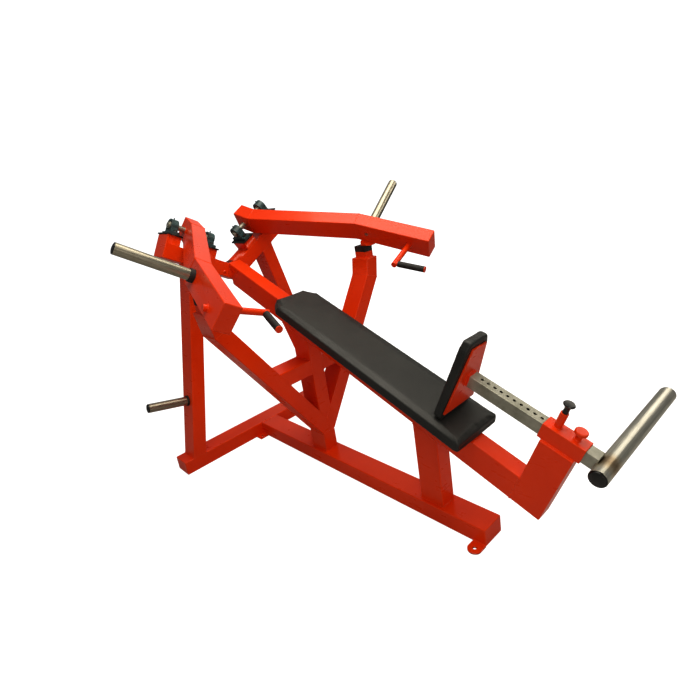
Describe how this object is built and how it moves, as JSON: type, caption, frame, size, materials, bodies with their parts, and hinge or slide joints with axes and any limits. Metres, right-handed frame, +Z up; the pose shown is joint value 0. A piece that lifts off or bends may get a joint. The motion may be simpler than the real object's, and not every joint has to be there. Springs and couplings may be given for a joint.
{
  "type": "plate-loaded incline lever press",
  "caption": "Fixed inclined bench under two bent lever arms that pivot in pillow block bearings, with weight horns, a sliding seat back and foot bar, a pull pin and a clamp knob.",
  "frame": {"origin": "on the floor, under the centre of the pedestal, on the underside of the base beam", "axes": "+X along the base beam to the foot end, +Y to the left of the person on the bench, +Z up"},
  "size_m": [2.173, 1.6686, 1.42],
  "materials": {
    "paint": "gloss powder coat, orange-red",
    "bare_steel": "bare ground steel, grey olive",
    "stainless": "brushed round stainless tube",
    "housing": "dark grey-green enamel on cast iron",
    "dark_steel": "blackened steel",
    "vinyl": "black grained vinyl upholstery",
    "rubber": "black moulded rubber",
    "black_plastic": "black moulded plastic"
  },
  "bodies": {
    "frame": {"base_beam": "paint", "cross_member": "paint", "floor_lugs": "paint", "front_post": "paint", "pedestal": "paint", "fork_left": "paint", "fork_right": "paint", "fork_braces": "paint", "centre_column": "paint", "column_gusset": "paint", "rear_post_left": "paint", "rear_post_right": "paint", "wing_beam": "paint", "wing_bolts": "paint", "bench_beam": "paint", "seat_riser": "paint", "guide_sleeve": "paint", "pin_barrel": "paint", "clamp_boss": "paint", "stop_posts": "paint", "pin_spring": "bare_steel", "bearing_inserts": "bare_steel", "storage_horns": "stainless", "bearing_blocks": "housing", "bearing_plates": "dark_steel", "bearing_bolts": "dark_steel", "bench_bolts": "dark_steel", "bench_pad": "vinyl", "bench_board": "vinyl", "stop_pads": "rubber", "storage_collars": "rubber", "storage_caps": "black_plastic"},
    "left_arm": {"arm_left": "paint", "shaft_left": "bare_steel", "stop_foot_left": "paint", "horn_left": "stainless", "horn_collar_left": "rubber", "horn_cap_left": "black_plastic", "handle_left": "paint", "grip_left": "rubber", "grip_end_left": "paint"},
    "right_arm": {"arm_right": "paint", "shaft_right": "bare_steel", "stop_foot_right": "paint", "horn_right": "stainless", "horn_collar_right": "rubber", "horn_cap_right": "black_plastic", "handle_right": "paint", "grip_right": "rubber", "grip_end_right": "paint"},
    "seat_slide": {"seat_tube": "bare_steel", "seat_plate": "paint", "seat_pad": "vinyl", "foot_bar": "stainless", "foot_bar_caps": "black_plastic"},
    "pull_pin": {"pin_plunger": "bare_steel", "pin_knob": "black_plastic"},
    "clamp": {"clamp_screw": "bare_steel", "clamp_knob": "paint"}
  },
  "joints": [
    {"name": "left_arm_swing", "type": "hinge", "parent": "frame", "child": "left_arm", "pos_m": [-0.61, 0.1912, 1.32283], "axis": [0, -0.866, -0.5], "range_deg": [0, 40]},
    {"name": "right_arm_swing", "type": "hinge", "parent": "frame", "child": "right_arm", "pos_m": [-0.61, -0.1912, 1.32283], "axis": [0, -0.866, 0.5], "range_deg": [0, 40]},
    {"name": "seat_carriage_slide", "type": "slide", "parent": "frame", "child": "seat_slide", "axis": [0.9205, 0, -0.3907], "range_m": [-0.0265, 0.2385]},
    {"name": "pull_pin_slide", "type": "slide", "parent": "frame", "child": "pull_pin", "axis": [0.3907, 0, 0.9205], "range_m": [0, 0.012], "deforming": ["pin_spring"]},
    {"name": "clamp_turn", "type": "hinge", "parent": "frame", "child": "clamp", "pos_m": [1.37643, 0, 0.61435], "axis": [0.3907, 0, 0.9205], "range_deg": [0, 360]}
  ]
}
